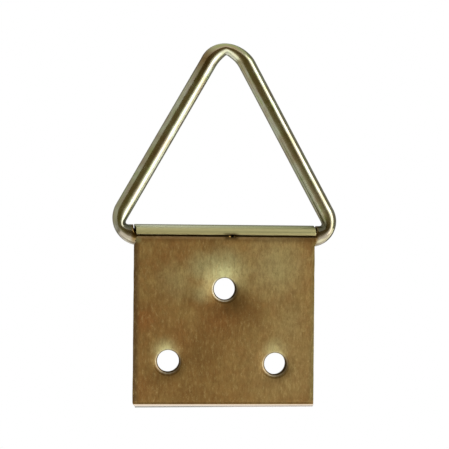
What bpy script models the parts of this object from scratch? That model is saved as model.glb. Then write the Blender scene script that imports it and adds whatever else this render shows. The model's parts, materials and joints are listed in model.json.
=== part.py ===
"""Hinged picture hanger: a folded sheet plate with screw holes, and a triangular wire ring that swings in
the plate's curled top edge.

Metres, +Z up. The origin is the middle of the plate's flat back face, the front faces -Y, and X runs along
the hinge.

The plate is one strip of sheet. Its end is curled over the wire, then it runs down as the rear leaf, round
the bottom fold, and up again as the front leaf, which ends at a narrow seam below the curl's cut end. It is
drawn as a flat pattern first, with x across the strip and v along the strip's middle, from the curl's cut end
to the seam. Each point of the pattern is then carried to its place in the bent strip."""

import math

import bmesh
import bpy
from mathutils import Vector
from mathutils.geometry import delaunay_2d_cdt

# Sheet plate
PLATE_WIDTH = 0.0300
PLATE_HEIGHT = 0.0305  # from the bottom of the fold to the top of the curl
SHEET_THICKNESS = 0.0006
FOLD_INNER_RADIUS = 0.00023
SEAM_RISE = 0.00034  # of the curl's cut end, above the hinge's axis
SEAM_GAP_LEFT = 0.00026
SEAM_GAP_RIGHT = 0.00028

# The sheet's sides are a little uneven at its bends
LEFT_CURL_INSET = 0.00035
LEFT_FOLD_INSET = 0.00040
RIGHT_EAR_REACH = 0.00030
RIGHT_CURL_REACH = 0.00012  # of the curl, and as much again near its cut end
RIGHT_FLARE = 0.00030  # both leaves widen this far on their way down to the fold
CURL_FRONT = 0.0012  # how far from the cut end the curl's own unevenness goes
CORNER_DROP = 0.00080  # how far below the seam the inset and the ear go on
SIDE_FADE = 0.00070  # over which each of them dies away
FOLD_FADE = 0.00030  # the same at the fold, inside its bend

# Notch in both edges of the seam, over the butted ends of the wire
NOTCH_DEPTH = 0.00010
NOTCH_REACH = 0.00120

# Screw holes: the front leaf's are drawn in round their rims, in a shallow dish
HOLE_DIAMETER = 0.0035
REAR_HOLE_DIAMETER = 0.0038
LIP_INNER_RADIUS = 0.00006
LIP_TURN = math.radians(58)
TOP_HOLE_HEIGHT = 0.0198
LOWER_HOLE_HEIGHT = 0.00757
LOWER_HOLE_SPACING = 0.0179
PATTERN_SHIFT = 0.00012  # of the three holes, to the left
PATTERN_TURN = math.radians(1.6)  # the three holes are punched a little askew, clockwise as seen in front
TOP_DISH_WIDTH = 0.0028
TOP_DISH_DEPTH = 0.00045
LOWER_DISH_WIDTH = 0.0014
LOWER_DISH_DEPTH = 0.00015

# Wire ring
WIRE_DIAMETER = 0.00285
WIRE_CLEARANCE = 0.00010  # between the wire and the curl, all round
LEFT_SIDE_LEAN = math.radians(29.5)  # of the ring's sides, from upright
RIGHT_SIDE_LEAN = math.radians(28.4)
LEFT_CORNER_OVERHANG = 0.00445  # of the corners of the wire's middle line, past the plate's sides
RIGHT_CORNER_OVERHANG = 0.00449
LEFT_CORNER_RADIUS = 0.0046  # of the ring's outer outline, as the next two
RIGHT_CORNER_RADIUS = 0.0043
APEX_RADIUS = 0.00515
CROWN_SHIFT = 0.0004  # of the top of the ring's outer outline, to the left
WIRE_END_OFFSET = 0.0013  # where the wire's ends meet, from the middle
WIRE_END_GAP = 0.0003

# Inside the lower bends the metal is squeezed up above the wire's upper side
SWELL_HEIGHT = 0.00065
SWELL_CLEARANCE = 0.00015  # from the plate's sides
SWELL_RISE = 0.00003  # the length over which it comes up
SHOULDER_ROUNDING = 0.00006
CREST_ROUNDING = 0.00080

# Inside the apex the bend comes to a point, below where the lines of the sides would meet
ARCH_DROP = 0.00145
ARCH_SHIFT = 0.0002  # of the point, to the left
ARCH_RUN = 0.0010  # the sides run straight on this far past the start of the bend
ARCH_ROUNDING = 0.0003  # of the point

# Finish
SHEET_COLOUR, SHEET_ROUGHNESS = (0.30, 0.20, 0.09), 0.35
WIRE_COLOUR, WIRE_ROUGHNESS = (0.42, 0.34, 0.20), 0.22

# Fineness of the mesh
CURL_STEPS = 12
FOLD_STEPS = 8
FADE_STEPS = 3
LIP_STEPS = 3
DISH_STEPS = 3
HOLE_SIDES = 20
NOTCH_STEPS = 6
WIRE_SIDES = 16
BEND_STEPS = 14
ROUND_STEPS = 3
MERGE_DISTANCE = 1e-8
SHARP_ANGLE = math.radians(35)

# Worked out from the sizes above
WIRE_RADIUS = WIRE_DIAMETER / 2
CURL_RADIUS = WIRE_RADIUS + WIRE_CLEARANCE + SHEET_THICKNESS / 2  # to the sheet's middle, as the next two
FOLD_RADIUS = FOLD_INNER_RADIUS + SHEET_THICKNESS / 2
LIP_RADIUS = LIP_INNER_RADIUS + SHEET_THICKNESS / 2
HOLE_RIM = HOLE_DIAMETER / 2 + (LIP_INNER_RADIUS + SHEET_THICKNESS) * math.sin(LIP_TURN)
BOTTOM_Z = -PLATE_HEIGHT / 2
AXIS_Y = -CURL_RADIUS - SHEET_THICKNESS / 2
AXIS_Z = PLATE_HEIGHT / 2 + AXIS_Y
FOLD_Y = -FOLD_RADIUS - SHEET_THICKNESS / 2
FOLD_Z = BOTTOM_Z - FOLD_Y
SEAM_Y = AXIS_Y - CURL_RADIUS
SEAM_REACH = math.hypot(FOLD_Y - SEAM_Y, AXIS_Z - FOLD_Z)
LEAN = math.atan2(FOLD_Y - SEAM_Y, AXIS_Z - FOLD_Z) - math.asin(FOLD_RADIUS / SEAM_REACH)
SEAM_TURN = math.asin(SEAM_RISE / CURL_RADIUS)

# Where each stretch of the strip begins, along its middle
REAR_START = (math.pi - SEAM_TURN) * CURL_RADIUS
FOLD_START = REAR_START + AXIS_Z - FOLD_Z
FRONT_START = FOLD_START + (math.pi - LEAN) * FOLD_RADIUS
STRIP_LENGTH = FRONT_START + math.sqrt(SEAM_REACH**2 - FOLD_RADIUS**2) + SEAM_RISE / math.cos(LEAN)

LEFT, RIGHT = -1, 1


def clear_scene():
    for thing in list(bpy.data.objects):
        bpy.data.objects.remove(thing)


def metal(name, colour, roughness):
    material = bpy.data.materials.new(name)
    material.use_nodes = True
    shader = material.node_tree.nodes["Principled BSDF"]
    shader.inputs["Base Color"].default_value = (*colour, 1)
    shader.inputs["Metallic"].default_value = 1
    shader.inputs["Roughness"].default_value = roughness
    return material


def make_object(name, mesh_maker, material, origin):
    shape = bmesh.new()
    mesh_maker(shape)
    mesh = bpy.data.meshes.new(name)
    shape.to_mesh(mesh)
    shape.free()
    mesh.shade_smooth()
    mesh.set_sharp_from_angle(angle=SHARP_ANGLE)
    mesh.materials.append(material)
    thing = bpy.data.objects.new(name, mesh)
    thing.location = origin
    bpy.context.collection.objects.link(thing)
    return thing


# The bent strip


def section(v):
    """Y and Z of the strip's middle, v along it from the curl's cut end."""
    if v < REAR_START:
        turn = math.pi - SEAM_TURN - v / CURL_RADIUS
        return AXIS_Y + CURL_RADIUS * math.cos(turn), AXIS_Z + CURL_RADIUS * math.sin(turn)
    if v < FOLD_START:
        return -SHEET_THICKNESS / 2, AXIS_Z - (v - REAR_START)
    if v < FRONT_START:
        turn = (v - FOLD_START) / FOLD_RADIUS
        return FOLD_Y + FOLD_RADIUS * math.cos(turn), FOLD_Z - FOLD_RADIUS * math.sin(turn)
    up = v - FRONT_START
    foot_y = FOLD_Y - FOLD_RADIUS * math.cos(LEAN)
    foot_z = FOLD_Z - FOLD_RADIUS * math.sin(LEAN)
    return foot_y - up * math.sin(LEAN), foot_z + up * math.cos(LEAN)


def plateau(v, start, end, fade):
    """1 from start to end, and dying away over the fade outside them."""
    share = min(max(start - v, v - end, 0) / fade, 1)
    return (1 + math.cos(math.pi * share)) / 2


def seam_gap(x):
    share = (x + PLATE_WIDTH / 2) / PLATE_WIDTH
    return SEAM_GAP_LEFT + (SEAM_GAP_RIGHT - SEAM_GAP_LEFT) * share


def notch(x):
    share = min(abs(x - WIRE_END_OFFSET) / NOTCH_REACH, 1)
    return NOTCH_DEPTH * (1 + math.cos(math.pi * share)) / 2


def seam_v(x):
    """Where the front leaf's free edge lies."""
    return STRIP_LENGTH - seam_gap(x) - notch(x)


def side_x(side, v):
    """X of the strip's left or right side."""
    seam = seam_v(side * PLATE_WIDTH / 2)
    corner = plateau(v, seam - CORNER_DROP, seam, SIDE_FADE)
    curl_front = plateau(v, 0, CURL_FRONT, SIDE_FADE)
    if side == RIGHT:
        curl = plateau(v, 0, REAR_START, SIDE_FADE)
        reach = RIGHT_EAR_REACH * corner + RIGHT_CURL_REACH * (curl + curl_front)
        rear_share = max(v - REAR_START, 0) / (FOLD_START - REAR_START)
        front_share = (seam - v) / (seam - FRONT_START)
        flare = RIGHT_FLARE * min(rear_share, front_share, 1)
        return PLATE_WIDTH / 2 + reach + flare
    fold = plateau(v, FOLD_START + FOLD_FADE, FRONT_START - FOLD_FADE, FOLD_FADE)
    return LEFT_CURL_INSET * (curl_front + corner) + LEFT_FOLD_INSET * fold - PLATE_WIDTH / 2


# Screw holes


def screw_holes():
    """X and height of each hole's centre, with its dish's width and depth."""
    spread = LOWER_HOLE_SPACING / 2
    drop = (TOP_HOLE_HEIGHT - LOWER_HOLE_HEIGHT) / 3  # of the lower holes, from the middle of the pattern
    middle = LOWER_HOLE_HEIGHT + drop
    pattern = (
        (0, 2 * drop, TOP_DISH_WIDTH, TOP_DISH_DEPTH),
        (-spread, -drop, LOWER_DISH_WIDTH, LOWER_DISH_DEPTH),
        (spread, -drop, LOWER_DISH_WIDTH, LOWER_DISH_DEPTH),
    )
    for x, up, dish_width, dish_depth in pattern:
        turned_x = x * math.cos(PATTERN_TURN) + up * math.sin(PATTERN_TURN)
        turned_up = up * math.cos(PATTERN_TURN) - x * math.sin(PATTERN_TURN)
        yield turned_x - PATTERN_SHIFT, middle + turned_up, dish_width, dish_depth


def front_v(height):
    foot_z = FOLD_Z - FOLD_RADIUS * math.sin(LEAN)
    return FRONT_START + (BOTTOM_Z + height - foot_z) / math.cos(LEAN)


def rear_v(height):
    return REAR_START + AXIS_Z - BOTTOM_Z - height


def dent(distance, dish_width, dish_depth):
    """How far the sheet lies behind the plain front leaf, this far from a hole's centre."""
    share = min((distance - HOLE_RIM) / dish_width, 1)
    inside = max(HOLE_RIM - distance, 0)
    return dish_depth * (1 - share) ** 2 + LIP_RADIUS - math.sqrt(LIP_RADIUS**2 - inside**2)


def lip_rings():
    """Radii of the front holes' rings, from the rim in to the cut edge."""
    for step in range(LIP_STEPS + 1):
        yield HOLE_RIM - LIP_RADIUS * math.sin(LIP_TURN * step / LIP_STEPS)


def dish_rings(dish_width):
    for step in range(DISH_STEPS):
        yield HOLE_RIM + dish_width * (step + 1) / DISH_STEPS


def place(x, v):
    """The point of the bent strip that the pattern's point x, v goes to."""
    y, z = section(v)
    if v > FRONT_START:
        for hole_x, height, dish_width, dish_depth in screw_holes():
            depth = dent(math.hypot(x - hole_x, v - front_v(height)), dish_width, dish_depth)
            y += depth * math.cos(LEAN)
            z += depth * math.sin(LEAN)
    return Vector((x, y, z))


# The flat pattern


def steps(start, end, count):
    """Count equal steps from start to end, without start itself."""
    return [start + (end - start) * (i + 1) / count for i in range(count)]


def bend_rows():
    rows = steps(0, REAR_START, CURL_STEPS)
    return rows + [FOLD_START, *steps(FOLD_START, FRONT_START, FOLD_STEPS)]


def side_rows(side):
    """Places along one side of the strip where the outline has a point."""
    seam = seam_v(side * PLATE_WIDTH / 2)
    rows = [0, *bend_rows()]
    rows += steps(REAR_START, REAR_START + SIDE_FADE, FADE_STEPS)
    rows += steps(seam - CORNER_DROP, seam - CORNER_DROP - SIDE_FADE, FADE_STEPS)
    return sorted([*rows, seam - CORNER_DROP, seam])


def outline():
    """The strip's edge: up its right side, back along the seam, down its left side, along the cut end."""
    notch_x = steps(WIRE_END_OFFSET - NOTCH_REACH, WIRE_END_OFFSET + NOTCH_REACH, NOTCH_STEPS)
    edge_x = [WIRE_END_OFFSET - NOTCH_REACH, *notch_x]
    right = [(side_x(RIGHT, v), v) for v in side_rows(RIGHT)]
    seam = [(x, seam_v(x)) for x in reversed(edge_x)]
    left = [(side_x(LEFT, v), v) for v in reversed(side_rows(LEFT))]
    cut_end = [(x, notch(x)) for x in edge_x]
    return right + seam + left + cut_end


def circle(x, v, radius):
    turns = [2 * math.pi * i / HOLE_SIDES for i in range(HOLE_SIDES)]
    return [(x + radius * math.cos(turn), v + radius * math.sin(turn)) for turn in turns]


def within_front_leaf(x, v):
    return FRONT_START < v < seam_v(x) - SHEET_THICKNESS and abs(x) < PLATE_WIDTH / 2 - SHEET_THICKNESS


def add_line(points, edges, line, closed):
    first = len(points)
    points.extend(Vector(point) for point in line)
    edges.extend((first + i, first + i + 1) for i in range(len(line) - 1))
    if closed:
        edges.append((len(points) - 1, first))


def flat_pattern():
    """The pattern's points and triangles, with the holes left open."""
    points, edges, open_discs = [], [], []
    add_line(points, edges, outline(), True)
    for v in bend_rows():
        add_line(points, edges, [(side_x(LEFT, v), v), (side_x(RIGHT, v), v)], False)
    for x, height, dish_width, _ in screw_holes():
        rear = REAR_HOLE_DIAMETER / 2
        add_line(points, edges, circle(x, rear_v(height), rear), True)
        open_discs.append((x, rear_v(height), rear))
        for radius in lip_rings():
            add_line(points, edges, circle(x, front_v(height), radius), True)
        open_discs.append((x, front_v(height), radius))
        for radius in dish_rings(dish_width):
            ring = circle(x, front_v(height), radius)
            points.extend(Vector(point) for point in ring if within_front_leaf(*point))
    points, _, faces, *_ = delaunay_2d_cdt(points, edges, [], 1, MERGE_DISTANCE)
    return points, [face for face in faces if not in_a_hole(points, face, open_discs)]


def in_a_hole(points, face, open_discs):
    middle = sum((points[i] for i in face), Vector((0, 0))) / len(face)
    flats = math.cos(math.pi / HOLE_SIDES)
    return any((middle - Vector((x, v))).length < radius * flats for x, v, radius in open_discs)


def bend_strip(shape):
    points, faces = flat_pattern()
    corners = [shape.verts.new(place(*point)) for point in points]
    for face in faces:
        shape.faces.new([corners[i] for i in face])
    bmesh.ops.delete(shape, geom=[corner for corner in corners if not corner.link_faces], context="VERTS")


def make_plate():
    steel = metal("yellow_plated_sheet", SHEET_COLOUR, SHEET_ROUGHNESS)
    plate = make_object("folded_plate", bend_strip, steel, (0, 0, 0))
    thickness = plate.modifiers.new("Sheet thickness", "SOLIDIFY")
    thickness.thickness = SHEET_THICKNESS
    thickness.offset = 0
    thickness.use_even_offset = True
    thickness.use_quality_normals = True
    return plate


# The wire ring, drawn in its own plane as x across and h above the hinge axis


def ring_corners():
    """The corner points of the wire's middle line: right, apex, left."""
    right = PLATE_WIDTH / 2 + RIGHT_CORNER_OVERHANG
    left = PLATE_WIDTH / 2 + LEFT_CORNER_OVERHANG
    height = (right + left) / (math.tan(RIGHT_SIDE_LEAN) + math.tan(LEFT_SIDE_LEAN))
    return Vector((right, 0)), Vector((right - height * math.tan(RIGHT_SIDE_LEAN), height)), Vector((-left, 0))


def out_of_side(side, up):
    """The direction out of the ring, square to the side that goes up this way."""
    return Vector((up.y, -up.x)) * side


def outer_bend(corner, first, last, radius):
    """Points of the ring's outer outline round a corner, between these two directions out of the ring."""
    centre = corner + (first + last) / (1 + first.dot(last)) * (WIRE_RADIUS - radius)
    turn = first.angle(last)
    for step in range(BEND_STEPS + 1):
        share = step / BEND_STEPS
        normal = (first * math.sin((1 - share) * turn) + last * math.sin(share * turn)) / math.sin(turn)
        yield centre + normal * radius


def softened(corners):
    """The path through these points, each but the ends drawn round over the reach given with it."""
    path = [corners[0][0]]
    for (before, _), (corner, reach), (after, _) in zip(corners, corners[1:], corners[2:]):
        start = corner + (before - corner).normalized() * reach
        end = corner + (after - corner).normalized() * reach
        for step in range(ROUND_STEPS + 1):
            share = step / ROUND_STEPS
            path.append(start.lerp(corner, share).lerp(corner.lerp(end, share), share))
    return [*path, corners[-1][0]]


def along(path, share):
    """The point this share of the way along the path."""
    lengths = [(after - before).length for before, after in zip(path, path[1:])]
    left = share * sum(lengths)
    for before, after, length in zip(path, path[1:], lengths):
        if left <= length:
            return before.lerp(after, left / length)
        left -= length
    return path[-1]


def paired(outer, inner_path):
    """Each outer point with the point of the inner path the same share of the way along it."""
    return [(point, along(inner_path, i / BEND_STEPS)) for i, point in enumerate(outer)]


def lower_bend(side, corner, apex, radius, plate_side):
    """Pairs of outer and inner points round a lower corner, from the base up to the ring's side."""
    up = (apex - corner).normalized()
    out = out_of_side(side, up)
    outer = list(outer_bend(corner, Vector((0, -1)), out, radius))
    inner_end = outer[-1] - out * WIRE_DIAMETER
    swell_top = WIRE_RADIUS + SWELL_HEIGHT
    swell_start = plate_side + SWELL_CLEARANCE
    foot = Vector((side * swell_start, WIRE_RADIUS))
    shoulder = Vector((side * (swell_start + SWELL_RISE), swell_top))
    crest = inner_end + up * (swell_top - inner_end.y) / up.y
    path = [(foot, 0), (shoulder, SHOULDER_ROUNDING), (crest, CREST_ROUNDING), (inner_end, 0)]
    return paired(outer, softened(path))


def crown_shift(i):
    """How far to the left the apex's outer point with this number lies: most in the middle of the bend."""
    return CROWN_SHIFT * math.sin(math.pi * i / BEND_STEPS)


def apex_bend(right, apex, left):
    """Pairs of outer and inner points round the apex, from right to left."""
    right_up, left_up = (apex - right).normalized(), (apex - left).normalized()
    right_out, left_out = out_of_side(RIGHT, right_up), out_of_side(LEFT, left_up)
    outer = list(outer_bend(apex, right_out, left_out, APEX_RADIUS))
    outer = [point - Vector((crown_shift(i), 0)) for i, point in enumerate(outer)]
    inner_start = outer[0] - right_out * WIRE_DIAMETER
    inner_end = outer[-1] - left_out * WIRE_DIAMETER
    meeting = apex - (right_out + left_out) / (1 + right_out.dot(left_out)) * WIRE_RADIUS
    point = meeting - Vector((ARCH_SHIFT, ARCH_DROP))
    right_turn = (inner_start + right_up * ARCH_RUN, ARCH_RUN)
    left_turn = (inner_end + left_up * ARCH_RUN, ARCH_RUN)
    path = [(inner_start, 0), right_turn, (point, ARCH_ROUNDING), left_turn, (inner_end, 0)]
    return paired(outer, softened(path))


def wire_end(x):
    return Vector((x, -WIRE_RADIUS)), Vector((x, WIRE_RADIUS))


def wire_outlines():
    """Pairs of outer and inner points from one end of the wire, round the ring, to its other end."""
    right, apex, left = ring_corners()
    left_side, right_side = PLATE_WIDTH / 2, PLATE_WIDTH / 2 + RIGHT_EAR_REACH
    return [
        wire_end(WIRE_END_OFFSET + WIRE_END_GAP / 2),
        *lower_bend(RIGHT, right, apex, RIGHT_CORNER_RADIUS, right_side),
        *apex_bend(right, apex, left),
        *reversed(lower_bend(LEFT, left, apex, LEFT_CORNER_RADIUS, left_side)),
        wire_end(WIRE_END_OFFSET - WIRE_END_GAP / 2),
    ]


def wire_section(shape, outer, inner):
    """One closed ring of points round the wire, as wide as its two outlines stand apart."""
    middle, half = (outer + inner) / 2, (outer - inner) / 2
    ring = []
    for i in range(WIRE_SIDES):
        turn = 2 * math.pi * i / WIRE_SIDES
        flat = middle + half * math.cos(turn)
        ring.append(shape.verts.new((flat.x, WIRE_RADIUS * math.sin(turn), flat.y)))
    return ring


def sweep_wire(shape):
    rings = [wire_section(shape, outer, inner) for outer, inner in wire_outlines()]
    for near, far in zip(rings, rings[1:]):
        for i in range(WIRE_SIDES):
            after = (i + 1) % WIRE_SIDES
            shape.faces.new((near[i], near[after], far[after], far[i]))
    shape.faces.new(rings[0])
    shape.faces.new(rings[-1])
    bmesh.ops.recalc_face_normals(shape, faces=shape.faces)


def make_ring():
    """The ring's origin is on the hinge axis, which is the middle of its base."""
    steel = metal("yellow_plated_wire", WIRE_COLOUR, WIRE_ROUGHNESS)
    return make_object("triangle_ring", sweep_wire, steel, (0, AXIS_Y, AXIS_Z))


def main():
    clear_scene()
    make_plate()
    make_ring()


if __name__ == "__main__":
    main()
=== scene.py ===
import json
import math
from typing import NamedTuple

import bmesh
import bpy
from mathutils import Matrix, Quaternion, Vector, noise
from mathutils.geometry import delaunay_2d_cdt


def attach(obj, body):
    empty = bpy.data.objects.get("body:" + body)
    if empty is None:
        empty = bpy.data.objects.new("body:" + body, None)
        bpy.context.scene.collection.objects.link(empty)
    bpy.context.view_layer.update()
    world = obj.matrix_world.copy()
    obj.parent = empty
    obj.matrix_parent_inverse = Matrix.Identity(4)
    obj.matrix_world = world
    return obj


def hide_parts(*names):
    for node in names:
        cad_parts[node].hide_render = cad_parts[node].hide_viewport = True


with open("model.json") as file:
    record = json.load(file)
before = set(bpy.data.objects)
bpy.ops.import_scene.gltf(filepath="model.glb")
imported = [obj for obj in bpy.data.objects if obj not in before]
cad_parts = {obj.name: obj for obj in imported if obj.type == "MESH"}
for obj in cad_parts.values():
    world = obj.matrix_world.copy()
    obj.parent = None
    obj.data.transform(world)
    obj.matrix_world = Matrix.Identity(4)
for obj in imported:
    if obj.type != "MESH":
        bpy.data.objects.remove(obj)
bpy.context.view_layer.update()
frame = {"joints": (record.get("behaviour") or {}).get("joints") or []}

# The sheet and the wire keep the sizes of the solids that they replace. Metres, as everywhere here

# Sheet plate
PLATE_WIDTH = 0.0300
PLATE_HEIGHT = 0.0305
SHEET_THICKNESS = 0.0006
FOLD_INNER_RADIUS = 0.00023
SEAM_RISE = 0.00034
SEAM_GAP_LEFT = 0.00026
SEAM_GAP_RIGHT = 0.00028
EDGE_ROUNDING = 0.00010  # of the sheared edges
CORNER_ROUNDING = 0.00035  # of the strip's four corners, in the flat
EDGE_RAGGEDNESS = 0.00003
RAG_LENGTH = 0.0022

# The sheet's sides are a little uneven at its bends
LEFT_CURL_INSET = 0.00035
LEFT_FOLD_INSET = 0.00040
RIGHT_EAR_REACH = 0.00030
RIGHT_CURL_REACH = 0.00012
RIGHT_FLARE = 0.00030
CURL_FRONT = 0.0012
CORNER_DROP = 0.00080
SIDE_FADE = 0.00070
FOLD_FADE = 0.00030

# Notch in both edges of the seam, over the butted ends of the wire
NOTCH_DEPTH = 0.00010
NOTCH_REACH = 0.00120

# Screw holes
HOLE_DIAMETER = 0.0035
REAR_HOLE_DIAMETER = 0.0038
LIP_INNER_RADIUS = 0.00006
LIP_TURN = math.radians(58)
TOP_HOLE_HEIGHT = 0.0198
LOWER_HOLE_HEIGHT = 0.00757
LOWER_HOLE_SPACING = 0.0179
PATTERN_SHIFT = 0.00012
PATTERN_TURN = math.radians(1.6)
TOP_DISH_WIDTH = 0.0028
TOP_DISH_DEPTH = 0.00045
LOWER_DISH_WIDTH = 0.0014
LOWER_DISH_DEPTH = 0.00015

# Wire ring
WIRE_DIAMETER = 0.00285
WIRE_CLEARANCE = 0.00010
LEFT_SIDE_LEAN = math.radians(29.5)
RIGHT_SIDE_LEAN = math.radians(28.4)
LEFT_CORNER_OVERHANG = 0.00445
RIGHT_CORNER_OVERHANG = 0.00449
LEFT_CORNER_RADIUS = 0.0046
RIGHT_CORNER_RADIUS = 0.0043
APEX_RADIUS = 0.00515
CROWN_SHIFT = 0.0004
WIRE_END_OFFSET = 0.0013
WIRE_END_GAP = 0.0003

# Inside the lower bends the metal is squeezed up above the wire's upper side
SWELL_HEIGHT = 0.00065
SWELL_CLEARANCE = 0.00010
SWELL_RISE = 0.00003
SHOULDER_ROUNDING = 0.00006
CREST_ROUNDING = 0.00080

# Inside the apex the bend comes to a point
ARCH_DROP = 0.00145
ARCH_SHIFT = 0.0002
ARCH_RUN = 0.0010
ARCH_ROUNDING = 0.0003

# Fineness
CURL_STEPS = 40
FOLD_STEPS = 16
LIP_STEPS = 6
DISH_STEPS = 7
HOLE_SIDES = 72
EDGE_STEPS = 4
CORNER_STEPS = 6
GRID = 0.0006  # between the leaves' points
EDGE_SPACING = 0.0003  # between points along the sheet's edges
WIRE_SIDES = 48
BEND_STEPS = 56
ROUND_STEPS = 8
WIRE_SPACING = 0.0006  # between the wire's rings of points, along its straight stretches
MERGE_DISTANCE = 1e-8

# Worked out from the sizes above
HALF_WIDTH = PLATE_WIDTH / 2
WIRE_RADIUS = WIRE_DIAMETER / 2
CURL_RADIUS = WIRE_RADIUS + WIRE_CLEARANCE + SHEET_THICKNESS / 2  # to the sheet's middle, as the next two
FOLD_RADIUS = FOLD_INNER_RADIUS + SHEET_THICKNESS / 2
LIP_RADIUS = LIP_INNER_RADIUS + SHEET_THICKNESS / 2
HOLE_RIM = HOLE_DIAMETER / 2 + (LIP_INNER_RADIUS + SHEET_THICKNESS) * math.sin(LIP_TURN)
CUT_EDGE = HOLE_RIM - LIP_RADIUS * math.sin(LIP_TURN)  # the hole's radius at the sheet's middle
BOTTOM_Z = -PLATE_HEIGHT / 2
_, AXIS_Y, AXIS_Z = frame["joints"][0]["pos_m"]
FOLD_Y = -FOLD_RADIUS - SHEET_THICKNESS / 2
FOLD_Z = BOTTOM_Z - FOLD_Y
SEAM_Y = AXIS_Y - CURL_RADIUS
SEAM_REACH = math.hypot(FOLD_Y - SEAM_Y, AXIS_Z - FOLD_Z)
LEAN = math.atan2(FOLD_Y - SEAM_Y, AXIS_Z - FOLD_Z) - math.asin(FOLD_RADIUS / SEAM_REACH)
SEAM_TURN = math.asin(SEAM_RISE / CURL_RADIUS)
REAR_START = (math.pi - SEAM_TURN) * CURL_RADIUS
FOLD_START = REAR_START + AXIS_Z - FOLD_Z
FRONT_START = FOLD_START + (math.pi - LEAN) * FOLD_RADIUS
STRIP_LENGTH = FRONT_START + math.sqrt(SEAM_REACH**2 - FOLD_RADIUS**2) + SEAM_RISE / math.cos(LEAN)
FOLD_MIDDLE = Vector((0, FOLD_Y, FOLD_Z))
FRONT_UP = Vector((0, -math.sin(LEAN), math.cos(LEAN)))
FRONT_OUT = Vector((0, -math.cos(LEAN), -math.sin(LEAN)))

LEFT, RIGHT = -1, 1

# Camera, as fitted to the photograph. Its azimuth and elevation are degrees, like the panels'
CAMERA_AZIMUTH = -5
CAMERA_ELEVATION = -2
CAMERA_DISTANCE = 0.170
CAMERA_ROLL = math.radians(0.38)
VIEW_WIDTH = 0.07516  # at the camera's target
TARGET = Vector((0.00007, -0.0020, AXIS_Z + 0.00218))

# Stage. The floor glows less near the object, and the world is dimmer as a light than the camera sees it
FLOOR_DROP = 0.300  # of the floor below the plate
FLOOR_SIZE = 3.0
FLOOR_FADE = (0.30, 0.60)
NEAR_GLOW_SHARE = 0.5
WORLD_LIGHT_SHARE = 0.6

# Round patches of the front leaf, and its painted shade: low down, along its left side and below its free
# edge. Its right side has an olive tint
PATCH_WAVES = 0.0022
PATCH_WAVE_SHARE = 0.4
PATCH_REACH_SHARES = (0.2, 1.2)  # of its radius, over which a patch fades
FRONT_FADE = 0.0006  # over which the side bands begin above the fold
LOW_SHADE_SHARE = 0.45
SIDE_BAND_WIDTH = 0.0012
LEFT_SIDE_SHADE_SHARE = 0.90
RIGHT_SIDE_OLIVE_SHARE = 0.80
SEAM_SHADE = 0.0015
SEAM_SHADE_SHARES = (0.30, 0.90)  # at the leaf's middle and at its right side

# Painted rings of shade and highlight round the screw holes: how far out from the cut edge, and half of its
# width
EDGE_SHADE_LINE = (0.00006, 0.00010)
LIP_HIGHLIGHT_LINE = (0.00022, 0.00010)
CREASE_SHADE_LINE = (0.00048, 0.00016)
RIM_SHADE_REACH = 0.0003  # of the painted shade, beyond the rim

# Each is strongest one way from the hole: from and to these shares of the rim's radius, and how strong
RIM_WAY_SHARES = ((0, -1, 0), (-0.8, -0.6, 0), (0.8, -1, 0))  # low, lower left and lower right
EDGE_SHADE_SHARES = (-0.9, -0.2, 0.25, 0.9)
LIP_HIGHLIGHT_SHARES = (-0.3, 0.5, 0.10)
LIP_HIGHLIGHT_SHARE = 0.62  # at most, at the top hole
CREASE_SHADE_SHARES = (0.2, 0.9, 0, 0.6)
RIM_SHADE_SHARES = (-0.2, 0.8, 0, 0.85)

# Painted shade at the notch: its reach across, and how far it covers the leaf and the curl
NOTCH_SHADE = (0.0006, 0.0017)
NOTCH_SHADE_LEAF = (0.0005, 0.0009)
NOTCH_SHADE_CURL = (0.0001, 0.0004)
NOTCH_SHADE_SHARE = 0.75

# Steel of the sheared edges, the paler top of the leaf, and painted shade on the curl's cut end and inside
# the bent sheet
CUT_SHARES = (0.3, 1, 0, 0.8)
CUT_END_SHARES = (0.2, 0.9)
LEAF_TOP_PALE_SHARE = 0.25
INNER_SHADE_SHARE = 0.6

# Bands of the bottom fold, painted light and shade: a dark line, a highlight and a dull underside, as turns
# in degrees from the front leaf round to the underside
FOLD_DEGREE = FOLD_RADIUS * math.radians(1)  # the length of one degree
FOLD_TILT = 6 / HALF_WIDTH  # degrees nearer the underside, for a metre further to the right
FOLD_SHADE_LINE_START = (-26, -12)
FOLD_SHADE_LINE_END = (10, 15)
FOLD_HIGHLIGHT_END = (23, 28)
FOLD_UNDER_START = (36, 46)
FOLD_SHADE_LINE_SHARE = 0.45

# The curl's own colour, dull above its cut end, with painted shade on its top and a painted dark line of
# shade along its front
CURL_START_SHARE = 0.9
CURL_SHARE = 0.85
CURL_GLOSS = (0.0007, 0.0016)
CURL_TOP_SHADE = (0.00145, 0.0019)
CURL_BACK = (0.0034, 0.0044)
CURL_TOP_SHADE_SHARE = 0.65
CURL_SHADE_LINE = (0.00047, 0.00026)  # where it lies, and half of its width
CURL_SHADE_LINE_SHARES = (0.15, 0.50)

# Greenish and rusty plating over the top of the ring, and painted shade on its left shoulder
TINT_WAVES = 0.0008
APEX_TINT = 0.0060
APEX_TINT_START = (-0.0035, -0.0010)
GREEN_START = (WIRE_RADIUS * 0.5, WIRE_RADIUS * 0.8)
GREEN_SHARE = 0.65
RUST_END = (0.0010, 0.0035)
RUST_SHARE = 0.5
SHOULDER_SHADE = 0.0090
SHOULDER_SHARE = 0.85

# Dull streaks on the ring's lower bends, and painted shade on the inside of the swollen metal, both above
# the axis
LOW_BEND_DULLING = (0.0005, 0.0040)
LOW_BEND_DULLING_SHARES = (0.25, 0.85)
STREAK_WIDTH = 0.0006
STREAK_SHARES = (0.25, 1, 1)
STREAK_NOISE_SHARES = (0.38, 0.56)
SWELL_SHADE = (0.0018, 0.0034)
SWELL_SHADE_SHARE = 0.85

# Painted shade on the wire where it enters the curl
WIRE_SHADE_REACH = 0.0007
WIRE_SHADE_SHARE = 0.9

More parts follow.
